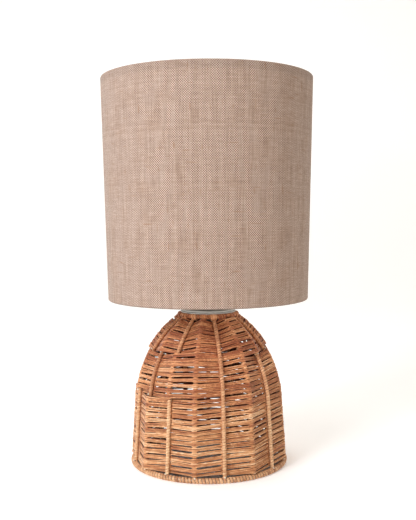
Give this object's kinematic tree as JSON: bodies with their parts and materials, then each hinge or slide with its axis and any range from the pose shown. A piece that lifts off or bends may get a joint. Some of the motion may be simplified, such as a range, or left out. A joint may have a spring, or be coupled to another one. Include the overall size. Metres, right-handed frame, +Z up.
{
  "type": "table lamp with shade",
  "caption": "Table lamp with a dome-shaped woven straw base on a wire frame, a screw lampholder and bulb, and a slightly flared cloth drum shade.",
  "frame": {"origin": "centre of the circle on which the base's rim stands", "axes": "+Z up along the lamp's axis, through the neck, the bulb and the shade; the shade's back seam is towards +Y"},
  "size_m": [0.1972, 0.1978, 0.36],
  "materials": {
    "wire": "drawn steel wire, hidden in the wrapping",
    "straw_cord": "twisted straw cord, wound edge to edge",
    "straw_weave": "woven straw strands, golden tan to red-brown",
    "plated_steel": "bright zinc plate",
    "cap_metal": "satin grey-silver",
    "black_plastic": "moulded, fine satin",
    "white_ceramic": "glazed off-white",
    "brass": "bright pressed sheet",
    "solder": "dull solder",
    "bulb_glass_black": "black insulator",
    "bulb_white": "smooth white",
    "bulb_opal": "opal diffuser",
    "led_white": "white board with light emitters",
    "board_green": "circuit board",
    "shade_cloth": "slubby linen-like plain weave, pinkish beige",
    "shade_liner": "smooth white laminate",
    "white_wire": "white powder coat"
  },
  "bodies": {
    "base": {"bottom_hoop": "wire", "rim_wrap": "straw_cord", "frame_ribs": "wire", "rib_wraps": "straw_cord", "weave": "straw_weave", "neck_hoop": "wire", "neck_wrap": "straw_cord", "neck_bridge": "plated_steel", "cap_plate": "cap_metal", "nipple": "plated_steel", "lock_washer": "plated_steel", "lock_nut": "plated_steel", "cable_bush": "black_plastic", "holder_cap": "black_plastic", "holder_body": "black_plastic", "holder_insert": "white_ceramic", "screw_shell": "brass", "centre_contact": "brass", "side_contact": "brass", "terminal_screws": "plated_steel"},
    "clamp": {"shade_ring": "black_plastic"},
    "bulb": {"bulb_tip": "solder", "bulb_insulator": "bulb_glass_black", "bulb_screw_cap": "plated_steel", "bulb_collar": "bulb_white", "bulb_globe": "bulb_opal", "led_board": "led_white", "led_driver": "board_green"},
    "shade": {"shade_cover": "shade_cloth", "top_fold": "shade_cloth", "bottom_fold": "shade_cloth", "shade_liner": "shade_liner", "top_ring": "white_wire", "bottom_ring": "white_wire", "fitter_ring": "white_wire", "fitter_arms": "white_wire"}
  },
  "joints": [
    {"name": "shade_turn", "type": "hinge", "parent": "base", "child": "shade", "pos_m": [0, 0, 0.16], "axis": [0, 0, 1], "continuous": true},
    {"name": "clamp_turn", "type": "hinge", "parent": "base", "child": "clamp", "pos_m": [0, 0, 0.17], "axis": [0, 0, 1], "continuous": true},
    {"name": "bulb_turn", "type": "hinge", "parent": "base", "child": "bulb", "pos_m": [0, 0, 0.2], "axis": [0, 0, 1], "continuous": true}
  ]
}
